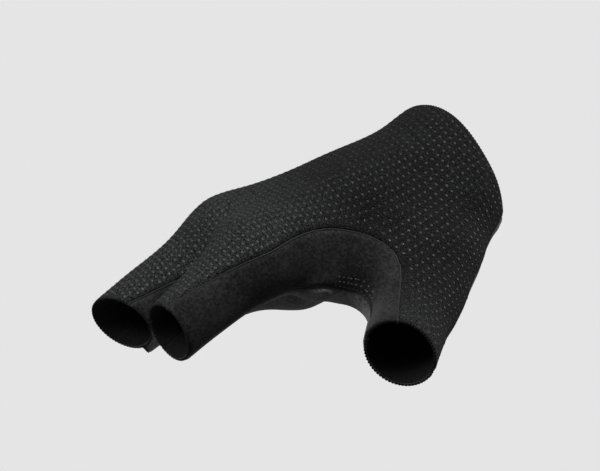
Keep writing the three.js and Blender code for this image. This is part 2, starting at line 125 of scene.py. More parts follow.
# splay, droop, length, base, hem, lean_side, lean_up
FINGERS = {
    "index": (-2.5, 17.9, 0.85, 0.93, 0.75, -0.15, 0.2),
    "middle": (6.4, 16.5, 1.01, 0.96, 0.84, -0.48, -0.12),
    "ring": (10, 17.5, 0.85, 0.88, 0.81, 0, 0),
    "little": (17, 23.8, 0.69, 0.84, 0.75, 0, 0),
}
THUMB = (-47.1, 18.3, 1, 1, 0.965, 0.12, 0.11)
BONE_PAST_HEM = 1.3
CUFF_MIDDLE, CUFF_ROUNDING, TONGUE_PLACE, TONGUE_DEPTHS = 0.2, 0.15, -0.2, (0.15, 0.6)
# on_thumb, on_index, thick
WEB_BONES = [(0.55, 0.5, 1.3), (0.85, 0.8, 1)]
# across, along, up, girth
PALM_FOLD = [(-0.37, 0.8, -0.44, 1), (-0.2, 0.63, -0.62, 0.5), (-0.02, 0.4, -0.36, 0.7)]
PALM_TENT = [(-0.31, 0.649, -0.72, 0.18), (-0.452, 0.597, -0.98, 0.11)]
# across, along, up, half
WEB_PATH = [(-0.476, 1.101, -0.12, 0.47), (-0.452, 0.842, -0.08, 0.51),
            (-0.446, 0.699, -0.22, 0.535), (-0.488, 0.582, -0.54, 0.5)]
GUSSET_AT_INDEX_HEM = (-0.94, -0.05, 0.54)
GUSSET_ON_THUMB = [(0.48, 0.33), (1.1, 0.42)]
FOURCHETTE_STRAIGHT, FOURCHETTE_END = 0.9, 1.5
CROTCH_REACH, CROTCH_STEPS = 3, 1400


def unit(vector):
    """The vector divided by its length."""
    return np.asarray(vector, float) / np.linalg.norm(vector)


UP = np.array([0.0, 0.0, 1.0])
THUMB_BACK = unit([-0.67, -0.41, 0.62])
WEB_BACK = unit(THUMB_BACK + UP)
THUMB_WEB_SIDE = np.array([-0.1, 0.48, 0.87])
print("joints of the palm:", len(PALM_JOINTS), "sleeves:", len(FINGERS) + 1)

# %% [markdown]
# A bone is an axis with a radius at each end, and with a direction that counts as its back. A sleeve
# also has the plane of its hem. The palm has more bones than sleeves lead into it: bridges across it
# keep its two faces even, two bones fill the web, and thin chains of them are the fold of suede.

# %% Bones
Bone = namedtuple("Bone", "start axis first last back")
Sleeve = namedtuple("Sleeve", "bone side top hem_normal hem_point hem_radius")


def bone(start, end, first, last, back=UP):
    """From start to end, with the radius going evenly from first to last."""
    return Bone(start, end - start, first, last, back)


def joint(name):
    """Place in millimetres: the joint's shares times the palm's width, length and depth."""
    return np.array(PALM_JOINTS[name][:3]) * PALM_SCALE


def girth(name):
    """Radius at a joint: its share times the palm's depth."""
    return PALM_JOINTS[name][3] * PALM_DEPTH


def palm_bone(first, last, back=UP):
    """Between two joints of the palm, with their own radii."""
    return bone(joint(first), joint(last), girth(first), girth(last), back)


def sleeve(name, row, length, width, back):
    """A sleeve's bone, turned by splay and droop, and the plane of its hem, which leans off square:
    along + lean_side * side + lean_up * top."""
    splay, droop, _, base, hem, lean_side, lean_up = row
    splay, droop = math.radians(splay), math.radians(droop)
    level = math.cos(droop)
    along = np.array([math.sin(splay) * level, math.cos(splay) * level, -math.sin(droop)])
    start = joint(name)
    end_width = (base + (hem - base) * BONE_PAST_HEM) * width
    limb = bone(start, start + along * length * BONE_PAST_HEM, base * width / 2, end_width / 2, back)
    side = unit(np.cross(along, UP))
    top = np.cross(side, along)
    hem_normal = unit(along + lean_side * side + lean_up * top)
    return Sleeve(limb, side, top, hem_normal, start + along * length, hem * width / 2)


def wrist_bones():
    """Two thick bones side by side that come in through the cuff and thin out to the palm."""
    radius = WRIST_DEPTH / 2
    for side in ("radial", "ulnar"):
        forearm, wrist, carpal = (f"{part}_{side}" for part in ("forearm", "wrist", "carpal"))
        yield bone(joint(forearm), joint(wrist), radius * FOREARM, radius)
        yield bone(joint(wrist), joint(carpal), radius, girth(carpal))


def bridge_bones():
    """Bones between two rows of joints, so that the back and the palm stay even there."""
    carpal = (joint("carpal_radial") + joint("carpal_ulnar")) / 2
    knuckle = (joint("middle") + joint("ring")) / 2
    carpal_girth = BRIDGE * (girth("carpal_radial") + girth("carpal_ulnar")) / 2
    knuckle_girth = BRIDGE * (girth("middle") + girth("ring")) / 2
    yield bone(joint("carpal_radial"), joint("carpal_ulnar"),
               girth("carpal_radial") * BRIDGE, girth("carpal_ulnar") * BRIDGE)
    yield bone(carpal, knuckle, carpal_girth, knuckle_girth)
    yield bone(joint("wrist_radial"), joint("wrist_ulnar"),
               WRIST_DEPTH / 2 * BRIDGE, WRIST_DEPTH / 2 * BRIDGE)


def web_bones():
    """Across the web: from a share of the thumb's bone to a share of the index's bone."""
    for on_thumb, on_index, thick in WEB_BONES:
        start = joint("thumb_root") + on_thumb * (joint("thumb") - joint("thumb_root"))
        end = joint("carpal_radial") + on_index * (joint("index") - joint("carpal_radial"))
        yield bone(start, end, thick * WEB_DEPTH / 2, thick * WEB_DEPTH / 2, WEB_BACK)


def fold_bones():
    """The suede's fold across the palm, and the thin tent of suede from it to the thumb."""
    for path in (PALM_FOLD, PALM_TENT):
        rows = [(np.array(row[:3]) * PALM_SCALE, row[3] * FOLD_DEPTH / 2) for row in path]
        for (start, first), (end, last) in zip(rows, rows[1:]):
            yield bone(start, end, first, last, WEB_BACK)


SLEEVES = [sleeve(name, row, row[2] * FINGER_SLEEVE, FINGER_WIDTH, UP) for name, row in FINGERS.items()]
THUMB_SLEEVE_BONE = sleeve("thumb", THUMB, THUMB_SLEEVE, THUMB_WIDTH, THUMB_BACK)
PALM_BONES = [
    *wrist_bones(), *bridge_bones(), *fold_bones(),
    palm_bone("carpal_radial", "index"), palm_bone("carpal_radial", "middle"),
    palm_bone("carpal_ulnar", "ring"), palm_bone("carpal_ulnar", "little"),
    palm_bone("heel", "heel_end"), palm_bone("heel_end", "little"),
    palm_bone("carpal_radial", "thumb_root", WEB_BACK), palm_bone("thumb_root", "thumb", THUMB_BACK),
    *web_bones(), THUMB_SLEEVE_BONE.bone,
]
print(len(PALM_BONES), "bones of palm and thumb and", len(SLEEVES), "of the other sleeves")

# %% [markdown]
# Each bone gives a distance, and a soft minimum runs them together into one smooth field. The inner
# face of the cloth is where the field is zero, and the outer face is one wall further out. Later
# steps ask this field where the cloth is, which way it faces and how far away it is.

# %% Distance fields
LEAST_STEEP = 0.05


def bone_share(points, limb):
    """Offset from the bone's start, and the share of its axis at which each point stands."""
    offset = points - limb.start
    return offset, np.clip(offset @ limb.axis / (limb.axis @ limb.axis), 0, 1)


def bone_distance(points, limb):
    """Distance to a tapered capsule: length of the way to the axis, less the radius there."""
    offset, share = bone_share(points, limb)
    reach = offset - share[:, None] * limb.axis
    return np.sqrt(np.einsum("ij,ij->i", reach, reach)) - limb.first - share * (limb.last - limb.first)


def smooth_least(values, softness):
    """Soft minimum: least - softness * log(sum(exp((least - value) / softness)))."""
    least = values.min(axis=0)
    return least - softness * np.log(np.exp((least - values) / softness).sum(axis=0))


def inner_face(points):
    """Soft minimum over the palm's bones and the sleeves': below zero inside the glove's hollow."""
    palm = smooth_least(np.array([bone_distance(points, limb) for limb in PALM_BONES]), PALM_BLEND)
    fingers = np.array([bone_distance(points, limb.bone) for limb in SLEEVES])
    return smooth_least(np.array([palm, smooth_least(fingers, CROTCH_BLEND)]), FINGER_BLEND)


def outer_face(points):
    """The inner face's field less the wall."""
    return inner_face(points) - WALL


def slope(field, points, step=0.2):
    """Gradient by central differences: (field ahead - field behind) / way between, on each axis."""
    moves = np.eye(3) * step
    return np.stack([(field(points + move) - field(points - move)) / (2 * step) for move in moves], axis=1)


def move_to_zero(field, points, rounds=3):
    """Newton's steps down the gradient: p - g * f / |g|^2."""
    for _ in range(rounds):
        gradient = slope(field, points)
        size = np.maximum(np.einsum("ij,ij->i", gradient, gradient), LEAST_STEEP)
        points = points - gradient * (field(points) / size)[:, None]
    return points


print("from the origin to the inner face:", round(abs(inner_face(np.zeros((1, 3)))[0]), 1), "mm")

# %% [markdown]
# A seam is a line on the cloth, and each one is the zero line of a field of its own. The gusset and
# the strips between the sleeves are paths with a half width: their seams lie where the distance to
# the path is the half width. The side seam lies where a point is as far over the bones as under.
# Drawn curves could be laid on the mesh instead, but they would have to be redrawn for each size.

# %% Seam fields
def path_distance(points, path):
    """Distance to a path of stations (place, half width): the least over its tapered legs."""
    legs = [bone(a, b, half_a, half_b) for (a, half_a), (b, half_b) in zip(path, path[1:])]
    return np.min([bone_distance(points, leg) for leg in legs], axis=0)


def smooth_path(path, steps=4):
    """Catmull-Rom: a cubic from b to c, with the slopes (c - a) / 2 and (d - b) / 2 at its ends."""
    rows = np.array([(*place, half) for place, half in path])
    rows = np.concatenate([2 * rows[:1] - rows[1:2], rows, 2 * rows[-1:] - rows[-2:-1]])
    t = (np.arange(steps) / steps)[:, None]
    legs = [b + 0.5 * t * (c - a) + t * t * (a - 2.5 * b + 2 * c - 0.5 * d)
            + t * t * t * (1.5 * b - 1.5 * c + 0.5 * d - 0.5 * a)
            for a, b, c, d in zip(rows, rows[1:], rows[2:], rows[3:])]
    rows = np.concatenate([*legs, rows[-2:-1]])
    return [(row[:3], row[3]) for row in rows]


def gusset_path():
    """From past the index hem over the web to past the thumb hem: stations of place and half width."""
    limb, side, top, _, hem_point, hem_radius = SLEEVES[0]
    radius = hem_radius + WALL
    to_side, to_top, half = GUSSET_AT_INDEX_HEM
    at_hem = hem_point + side * to_side * radius + top * to_top * radius
    web = [(np.array(row[:3]) * PALM_SCALE, row[3] * GUSSET_WIDTH) for row in WEB_PATH]
    thumb = THUMB_SLEEVE_BONE
    along_thumb = thumb.hem_point - thumb.bone.start
    on_thumb = [(thumb.bone.start + share * along_thumb + THUMB_WEB_SIDE * thumb.hem_radius,
                 half_share * GUSSET_WIDTH) for share, half_share in GUSSET_ON_THUMB]
    half = half * GUSSET_WIDTH
    return [(at_hem + unit(limb.axis) * radius, half), (at_hem, half), *web, *on_thumb]


def fourchette_path(first, second):
    """Down one sleeve's side, round the crotch and up the side of the next sleeve. The crotch is
    where a line between the two bones first comes out of the outer face."""
    def beside(limb, share, sign):
        at = limb.bone.start + share * (limb.hem_point - limb.bone.start)
        return at + limb.side * sign * (limb.hem_radius + WALL)

    root = (first.bone.start + second.bone.start) / 2
    ahead = unit(unit(first.bone.axis) + unit(second.bone.axis))
    steps = np.linspace(0, CROTCH_REACH * FINGER_SLEEVE, CROTCH_STEPS)
    line = root + steps[:, None] * ahead
    crotch = line[np.argmax(outer_face(line) > 0)]
    places = [beside(first, FOURCHETTE_END, 1), beside(first, FOURCHETTE_STRAIGHT, 1), crotch,
              beside(second, FOURCHETTE_STRAIGHT, -1), beside(second, FOURCHETTE_END, -1)]
    return [(place, FOURCHETTE_WIDTH / 2) for place in places]


def back_height(points):
    """Height over the side seam: each bone's own height, blended by exp(-distance / blend)."""
    limbs = PALM_BONES + [limb.bone for limb in SLEEVES]
    distances = np.array([bone_distance(points, limb) for limb in limbs])
    weights = np.exp((distances.min(axis=0) - distances) / PALM_BLEND)
    total = np.zeros(len(points))
    for limb, weight in zip(limbs, weights):
        offset, share = bone_share(points, limb)
        total += weight * ((offset - share[:, None] * limb.axis) @ limb.back)
    return total / weights.sum(axis=0)


GUSSET_PATH = smooth_path(gusset_path())
FOURCHETTE_PATHS = [fourchette_path(a, b) for a, b in zip(SLEEVES, SLEEVES[1:])]
print("gusset stations:", len(GUSSET_PATH), "fourchettes:", len(FOURCHETTE_PATHS))

# %% [markdown]
# The cut edges are fields too. A sleeve ends at the plane of its hem. The cuff is scooped, so that
# it runs further back at the sides than in the middle, and a round tongue runs past it at the heel.

# %% Hem and cuff fields
def past_hem(points):
    """Above zero beyond the hem of the nearest sleeve: the way past its plane."""
    limbs = [*SLEEVES, THUMB_SLEEVE_BONE]
    nearest = np.argmin([bone_distance(points, limb.bone) for limb in limbs], axis=0)
    past = np.array([(points - limb.hem_point) @ limb.hem_normal for limb in limbs])
    return past[nearest, np.arange(len(points))]


def past_cuff(points):
    """Above zero behind the cuff's edge: a rounded V across the glove, less a bell-shaped tongue that
    comes in smoothly on the palm's side."""
    sideways = np.hypot(points[:, 0] / (PALM_WIDTH / 2), CUFF_ROUNDING)
    from_tongue = (points[:, 0] - TONGUE_PLACE * PALM_WIDTH) / (TONGUE_WIDTH / 2)
    low, high = TONGUE_DEPTHS
    share = np.clip((-points[:, 2] / PALM_DEPTH - low) / (high - low), 0, 1)
    tongue = TONGUE_LENGTH * np.exp(-from_tongue ** 2) * share ** 2 * (3 - 2 * share)
    return CUFF_SCOOP * (CUFF_MIDDLE - sideways) - tongue - points[:, 1]


middle_edge, side_edge = past_cuff(np.array([(0.0, 0, 0), (PALM_WIDTH / 2, 0, 0)]))
print("cuff at the middle and at the side:", round(middle_edge, 1), round(side_edge, 1), "mm")

# %% [markdown]
# A fine net on the field becomes the cloth. A remesh of joined tubes could do it too, but a field
# has one smooth surface over palm, web and sleeves with no joints to hide. The net is worked out as
# whole arrays: a value at each point of a lattice, one vertex in each cell that the surface crosses,
# one quad round each lattice edge that it crosses. Far from the surface one value serves a block.

# %% Surface net
NET_STEP = 0.8
NET_BLOCK = 4
CELL_CORNERS = np.array([(i & 1, i >> 1 & 1, i >> 2 & 1) for i in range(8)])
CELL_EDGES = [(a, a | bit) for a in range(8) for bit in (1, 2, 4) if not a & bit]


def lattice_values(field, low, counts):
    """Field on the lattice: coarse values at the blocks' centres, fine ones near the surface."""
    blocks = np.indices(counts // NET_BLOCK).reshape(3, -1).T
    centres = low + (blocks * NET_BLOCK + (NET_BLOCK - 1) / 2) * NET_STEP
    values = field(centres).reshape(counts // NET_BLOCK)
    for axis in range(3):
        values = np.repeat(values, NET_BLOCK, axis=axis)
    near = np.argwhere(np.abs(values) < NET_BLOCK * NET_STEP)
    values[tuple(near.T)] = field(low + near * NET_STEP)
    return values


def surface_net(field, low, high):
    """Zero surface of a field inside a box. A cell's vertex is the mean of the crossings on its edges,
    and then goes down the gradient onto the surface."""
    counts = np.ceil((high - low) / NET_STEP / NET_BLOCK).astype(int) * NET_BLOCK
    values = lattice_values(field, low, counts)
    inside = values < 0
    corners = sum(inside[x:counts[0] - 1 + x, y:counts[1] - 1 + y, z:counts[2] - 1 + z].astype(int)
                  for x, y, z in CELL_CORNERS)
    active = (corners > 0) & (corners < 8)
    cells = np.argwhere(active)
    number = np.full(active.shape, -1)
    number[active] = np.arange(len(cells))
    total, hits = np.zeros((len(cells), 3)), np.zeros(len(cells))
    for a, b in CELL_EDGES:
        start, end = CELL_CORNERS[a], CELL_CORNERS[b]
        at_start, at_end = values[tuple((cells + start).T)], values[tuple((cells + end).T)]
        crossed = (at_start < 0) != (at_end < 0)
        share = at_start[crossed] / (at_start[crossed] - at_end[crossed])
        total[crossed] += start + share[:, None] * (end - start)
        hits += crossed
    vertices = move_to_zero(field, low + (cells + total / hits[:, None]) * NET_STEP)
    quads = []
    for axis in range(3):
        ahead, u, v = np.eye(3, dtype=int)[[axis, (axis + 1) % 3, (axis + 2) % 3]]
        at = np.argwhere(active)
        first, second = inside[tuple(at.T)], inside[tuple((at + ahead).T)]
        at = at[(first != second) & (at @ u > 0) & (at @ v > 0)]
        loop = np.stack([number[tuple((at - move).T)] for move in (u + v, v, 0 * u, u)], axis=1)
        outwards = inside[tuple(at.T)]
        quads.append(np.where(outwards[:, None], loop, loop[:, ::-1]))
    quads = np.concatenate(quads)
    return vertices, np.concatenate([quads[:, [0, 1, 2]], quads[:, [0, 2, 3]]])


def form_box():
    """Box round every bone's end, from a little behind the cuff on."""
    limbs = PALM_BONES + [limb.bone for limb in SLEEVES]
    ends = [(limb.start, limb.first) for limb in limbs]
    ends += [(limb.start + limb.axis, limb.last) for limb in limbs]
    low = np.min([end - radius for end, radius in ends], axis=0) - WALL - PALM_BLEND
    high = np.max([end + radius for end, radius in ends], axis=0) + WALL + PALM_BLEND
    low[1] = -2 * CUFF_SCOOP
    return low, high


vertices, net = surface_net(outer_face, *form_box())
print("net:", len(vertices), "vertices,", len(net), "triangles")

# %% [markdown]
# The glove is sewn from panels, so the net is cut along each seam field's zero line. A boolean with
# cutters would leave slivers. Here vertices close to a line are drawn onto it first, and only the
# triangles across it are split where they meet it.

# %% Cut the net into panels
SNAP = 0.28
LEAST_SEAM_STEEP = 0.2


class Cloth:
    """A net that is cut step by step; vertices on an earlier cut stay where they are."""

    def __init__(self, vertices):
        self.vertices = vertices
        self.fixed = np.zeros(len(vertices), bool)

    def values(self, triangles, field):
        """The field at each vertex in use, after the near ones have been drawn onto its zero line."""
        used = np.unique(triangles)
        values = np.zeros(len(self.vertices))
        values[used] = field(self.vertices[used])
        near = used[(np.abs(values[used]) < SNAP) & ~self.fixed[used]]
        points = self.vertices[near]
        normal = slope(outer_face, points)
        normal /= np.linalg.norm(normal, axis=1)[:, None]
        along = slope(field, points)
        along -= normal * np.einsum("ij,ij->i", along, normal)[:, None]
        size = np.maximum(np.einsum("ij,ij->i", along, along), LEAST_SEAM_STEEP)
        moved = points - along * (values[near] / size)[:, None]
        self.vertices[near] = move_to_zero(outer_face, moved, 2)
        self.fixed[near] = True
        values[near] = 0
        return values

    def cut(self, triangles, field):
        """Returns the triangles below the field's zero line and those above it. A crossed triangle is
        turned until its first corner lies on the line, and is split in two, or until that corner is
        alone on its side, and is split in three. A new vertex is where the field's share is zero."""
        values = self.values(triangles, field)
        signs = np.sign(values)[triangles]
        low, high = signs.min(axis=1), signs.max(axis=1)
        mixed = low * high < 0
        below, above = [triangles[~mixed & (low < 0)]], [triangles[~mixed & (low >= 0)]]
        triangles, signs = triangles[mixed], signs[mixed]
        touching = (signs == 0).any(axis=1)
        lone = np.where(signs.sum(axis=1)[:, None] > 0, signs < 0, signs > 0)
        first = np.where(touching, np.argmax(signs == 0, axis=1), np.argmax(lone, axis=1))
        order = (first[:, None] + np.arange(3)) % 3
        a, b, c = np.take_along_axis(triangles, order, axis=1).T
        turned = np.take_along_axis(signs, order, axis=1)
        t, n = touching, ~touching
        starts = np.concatenate([np.where(t, b, a), a[n]])
        ends = np.concatenate([np.where(t, c, b), c[n]])
        edges = np.sort(np.stack([starts, ends], axis=1), axis=1)
        edges, which = np.unique(edges, axis=0, return_inverse=True)
        at_start, at_end = values[edges[:, 0]], values[edges[:, 1]]
        share = (at_start / (at_start - at_end))[:, None]
        points = self.vertices[edges[:, 0]] * (1 - share) + self.vertices[edges[:, 1]] * share
        which = which.ravel() + len(self.vertices)
        self.vertices = np.concatenate([self.vertices, move_to_zero(outer_face, points, 2)])
        self.fixed = np.concatenate([self.fixed, np.ones(len(points), bool)])
        one, two = which[:len(a)], which[len(a):]
        pieces = [([a[t], b[t], one[t]], turned[t, 1]), ([a[t], one[t], c[t]], turned[t, 2]),
                  ([a[n], one[n], two], turned[n, 0]), ([one[n], b[n], c[n]], turned[n, 1]),
                  ([one[n], c[n], two], turned[n, 1])]
        below += [np.stack(corners, 1)[side < 0] for corners, side in pieces]
        above += [np.stack(corners, 1)[side > 0] for corners, side in pieces]
        return np.concatenate(below), np.concatenate(above)


def gusset_field(points):
    """Below zero on the gusset."""
    return path_distance(points, GUSSET_PATH)


FOURCHETTE_FIELDS = [lambda points, path=path: path_distance(points, path) for path in FOURCHETTE_PATHS]
cloth = Cloth(vertices)
trimmed = cloth.cut(cloth.cut(net, past_cuff)[0], past_hem)[0]
web, rest = cloth.cut(trimmed, gusset_field)
strips = []
for strip_field in FOURCHETTE_FIELDS:
    strip, rest = cloth.cut(rest, strip_field)
    strips.append(strip)
palm, back = cloth.cut(rest, back_height)
print("back:", len(back), "palm:", len(palm), "web:", len(web), "strips:", [len(strip) for strip in strips])

# %% [markdown]
# Each panel gets a wall: the net is the outer face, the inner face lies one wall below it, and a
# narrow band closes the rim. Cloth that is sewn rolls in at its seams, so the outer face sinks there
# and swells a little beside the needle line. Long, low waves keep the cloth from looking moulded.

# %% Give the panels their wall and relief
SEAM_SINK, SEAM_REACH = 0.5, 0.7
SEAM_SWELL, SWELL_PLACE, SWELL_REACH = 0.16, 1.7, 0.8
HEM_SINK, HEM_REACH = 0.35, 0.6
WAVE_HEIGHT = 0.22
INSIDE_STRIP, FAR_AWAY = -0.1, 99
NORMAL_STEP = 0.5
# directions of the long waves and their lengths in millimetres
WAVES = [((0.8, 0.3, 0.5), 21), ((-0.4, 0.9, 0.3), 33), ((0.2, -0.5, 0.85), 17)]


def seam_distance(points):
    """Distance to the nearest seam: the least size of the seam fields. No side seam runs on a strip."""
    to_strips = np.array([field(points) for field in (gusset_field, *FOURCHETTE_FIELDS)])
    on_strip = to_strips.min(axis=0) < INSIDE_STRIP
    to_side = np.where(on_strip, FAR_AWAY, np.abs(back_height(points)))
    return np.minimum(np.abs(to_strips).min(axis=0), to_side)


def relief(points):
    """Sum of a groove and a swell by the seams, a rolled edge at the hems, and low waves."""
    seam = seam_distance(points)
    edge = np.minimum(np.abs(past_hem(points)), np.abs(past_cuff(points)))
    waves = np.mean([np.sin(TURN * (points @ unit(way)) / length) for way, length in WAVES], axis=0)
    return (SEAM_SWELL * np.exp(-((seam - SWELL_PLACE) / SWELL_REACH) ** 2)
            - SEAM_SINK * np.exp(-(seam / SEAM_REACH) ** 2)
            - HEM_SINK * np.exp(-(edge / HEM_REACH) ** 2) + WAVE_HEIGHT * waves)


def normals_of(points):
    """Gradient of the inner face's field, divided by its length."""
    normal = slope(inner_face, points, NORMAL_STEP)
    return normal / np.linalg.norm(normal, axis=1)[:, None]


def rim_edges(triangles):
    """Edges that one triangle alone uses, in the direction in which it uses them."""
    edges = np.concatenate([triangles[:, [0, 1]], triangles[:, [1, 2]], triangles[:, [2, 0]]])
    _, first, counts = np.unique(np.sort(edges, axis=1), axis=0, return_index=True, return_counts=True)
    return edges[first[counts == 1]]


def compact(vertices, triangles):
    """Only the vertices in use, and the triangles with their new numbers."""
    used, renumbered = np.unique(triangles, return_inverse=True)
    return vertices[used], renumbered.reshape(-1, 3)


def drawn_back(points, normals, rim):
    """The rim moved into the panel by half the seam's gap, square to the mean of its two edges."""
    inward = np.cross(normals[rim[:, 0]], points[rim[:, 1]] - points[rim[:, 0]])
    inward /= np.maximum(np.linalg.norm(inward, axis=1), TINY)[:, None]
    pull = np.zeros_like(points)
    np.add.at(pull, rim[:, 0], inward)
    np.add.at(pull, rim[:, 1], inward)
    size = np.linalg.norm(pull, axis=1)
    moving = size > 0
    points = points.copy()
    points[moving] += pull[moving] / size[moving, None] * SEAM_GAP / 2
    return points


def new_object(name, vertices, faces):
    """A mesh object at the origin, smooth shaded, with its place in its vertices."""
    mesh = bpy.data.meshes.new(name)
    mesh.from_pydata((vertices * MM).tolist(), [], faces.tolist())
    mesh.shade_smooth()
    made = bpy.data.objects.new(name, mesh)
    bpy.context.scene.collection.objects.link(made)
    return made


def panel(name, node, triangles):
    """Outer face, inner face one wall below, and a band of quads, as two triangles each, at the rim."""
    points, triangles = compact(cloth.vertices, triangles)
    normals = normals_of(points)
    rim = rim_edges(triangles)
    points = drawn_back(points, normals, rim)
    inner = points - normals * WALL
    outer = points + normals * relief(points)[:, None]
    a, b = rim.T
    count = len(points)
    band = [np.stack([b, a, a + count], 1), np.stack([b, a + count, b + count], 1)]
    faces = np.concatenate([triangles, triangles[:, ::-1] + count, *band])
    made = new_object(name, np.concatenate([outer, inner]), faces)
    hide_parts(node)
    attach(made, "root")
    corners = points[triangles]
    crossed = np.cross(corners[:, 1] - corners[:, 0], corners[:, 2] - corners[:, 0])
    area = np.linalg.norm(crossed, axis=1).sum() / 2
    print(name, "triangles:", len(faces), "area in square mm:", round(area))
    return made, points, triangles


back_cloth, back_points, back_triangles = panel("back_cloth", "back_panel", back)
palm_cloth = panel("palm_cloth", "palm_panel", palm)[0]
gusset_cloth = panel("gusset_cloth", "thumb_web_gusset", web)[0]
STRIP_NODES = ["fourchette_index_middle", "fourchette_middle_ring", "fourchette_ring_little"]
strip_cloths = [panel(node.replace("fourchette", "strip"), node, strip)[0]
                for node, strip in zip(STRIP_NODES, strips)]

# %% [markdown]
# The knit's rows run the length of the glove, and its pattern has one size everywhere, because the
# panel was cut from flat cloth. Blender's unwrap keeps the angles but lets the size drift. Here each
# vertex gets a place in flat cloth so that one millimetre on the glove is one in the pattern, as
# nearly as a curved surface allows: a least-squares fit of the places to the cloth's directions.

# %% Lay the back flat in the direction of its rows
FIT_ROUNDS, FIT_END = 700, 1e-9
GRAIN_LEAN, GRAIN_LEANS_FROM, GRAIN_REACH = 0.22, -22, 15
CROWDING, CROWD_PLACE, CROWD_REACH = 0.25, 60, 9


def cloth_directions(middle, normal):
    """Along: the glove's length, leaning down on the thumb's side, laid onto the cloth.
    Across: square to it. And how sure they are: the length that was left of it."""
    lean = GRAIN_LEAN * np.clip((GRAIN_LEANS_FROM - middle[:, 0]) / GRAIN_REACH, 0, 1)
    along = np.stack([0 * lean, 1 + 0 * lean, -lean], axis=1)
    along -= normal * np.einsum("ij,ij->i", along, normal)[:, None]
    sure = np.linalg.norm(along, axis=1)
    along /= np.maximum(sure, TINY)[:, None]
    return np.stack([np.cross(along, normal), along], axis=1), sure


def solve_spread(apply, goal, diagonal):
    """Conjugate gradients, two columns at once, each entry first divided by its own diagonal."""
    places, rest = np.zeros_like(goal), goal.copy()
    scaled = rest / diagonal
    way, strength = scaled.copy(), (rest * scaled).sum(axis=0)
    for _ in range(FIT_ROUNDS):
        pushed = apply(way)
        step = strength / (way * pushed).sum(axis=0)
        places += step * way
        rest -= step * pushed
        scaled = rest / diagonal
        last, strength = strength, (rest * scaled).sum(axis=0)
        if strength.max() < FIT_END:
            break
        way = scaled + strength / last * way
    return places


def laid_flat(points, triangles):
    """Place of each vertex across and along, in millimetres, whose slopes are nearest to the cloth's."""
    corners = points[triangles]
    edges = corners[:, [2, 0, 1]] - corners[:, [1, 2, 0]]
    normal = np.cross(edges[:, 0], edges[:, 1])
    double = np.linalg.norm(normal, axis=1)
    normal /= double[:, None]
    slopes = np.cross(normal[:, None], edges) / double[:, None, None]
    directions, sure = cloth_directions(corners.mean(axis=1), normal)
    weight = (double * sure)[:, None, None]
    stiff = np.einsum("tik,tjk->tij", slopes, slopes) * weight
    pull = np.einsum("tik,tdk->tid", slopes, directions) * weight

    def gathered(values):
        return np.stack([np.bincount(triangles.ravel(), values[..., d].ravel(), len(points))
                         for d in range(2)], axis=1)

    diagonal = np.bincount(triangles.ravel(), np.einsum("tii->ti", stiff).ravel(), len(points))[:, None]
    places = solve_spread(lambda x: gathered(stiff @ x[triangles]), gathered(pull), diagonal)
    found = np.einsum("tik,tid->tdk", slopes, places[triangles])
    spread = np.percentile(np.linalg.norm(found, axis=2), [5, 50, 95], axis=0)
    print("pattern size, across and along:", spread.round(2).tolist())
    return places - np.median(places - points[:, :2], axis=0)


def crowded(places):
    """The sleeves' cloth is less stretched: towards them the pattern grows by a smooth step, and along
    it by that step's integral, so that its loops come out smaller."""
    past = (places[:, 1] - CROWD_PLACE) / CROWD_REACH
    rise = 1 / (1 + np.exp(-past))
    return np.stack([places[:, 0] * (1 + CROWDING * rise),
                     places[:, 1] + CROWDING * CROWD_REACH * np.logaddexp(0, past)], axis=1)


def write_pattern(piece, places, triangles):
    """UV map in metres: the outer face's places, the same again for the inner face, none at the rim."""
    layer = piece.data.uv_layers.new(name="pattern")
    outer, inner = places[triangles], places[triangles[:, ::-1]]
    spare = len(piece.data.loops) - triangles.size * 2
    uv = np.concatenate([outer.reshape(-1, 2), inner.reshape(-1, 2), np.zeros((spare, 2))])
    layer.data.foreach_set("uv", (uv * MM).ravel())


back_flat = laid_flat(back_points, back_triangles)
print("flat size in mm:", np.ptp(back_flat, axis=0).round(1))
knit_places = crowded(back_flat)
write_pattern(back_cloth, knit_places, back_triangles)

# %% [markdown]
# The back is knitted with rows of small raised dots that catch the light. A bump in the material
# would be flat from the side, so each dot is a low dome of real mesh: one small template of a few
# dozen faces, set on every crossing of a lattice in the pattern places.

# %% Raised dots of the knit
DOT_PITCH = np.array([2.75, 2.5])
DOT_ACROSS, DOT_ALONG, DOT_HEIGHT = 0.74, 0.5, 0.09
DOT_SIDES = 8
# share of the width and of the height
DOT_RINGS = [(1, -0.6), (0.7, 0.8)]
DOT_MARGIN, LATTICE_REACH = 1.5, 0.45


def dome():
    """A dome of two rings and a top: places across, along and up, and its triangles."""
    angle = np.arange(DOT_SIDES) * TURN / DOT_SIDES
    ring = np.stack([np.cos(angle), np.sin(angle)], axis=1)
    rings = [np.c_[ring * width, np.full(DOT_SIDES, height)] for width, height in DOT_RINGS]
    places = np.concatenate([*rings, [[0, 0, 1]]])
    low = np.arange(DOT_SIDES)
    after = (low + 1) % DOT_SIDES
    high, top = low + DOT_SIDES, np.full(DOT_SIDES, 2 * DOT_SIDES)
    faces = [np.stack([low, after, high], 1), np.stack([after, after + DOT_SIDES, high], 1),
             np.stack([high, after + DOT_SIDES, top], 1),
             np.stack([after, low, np.zeros_like(low)], 1)[1:-1]]
    return places * [DOT_ACROSS, DOT_ALONG, DOT_HEIGHT], np.concatenate(faces)


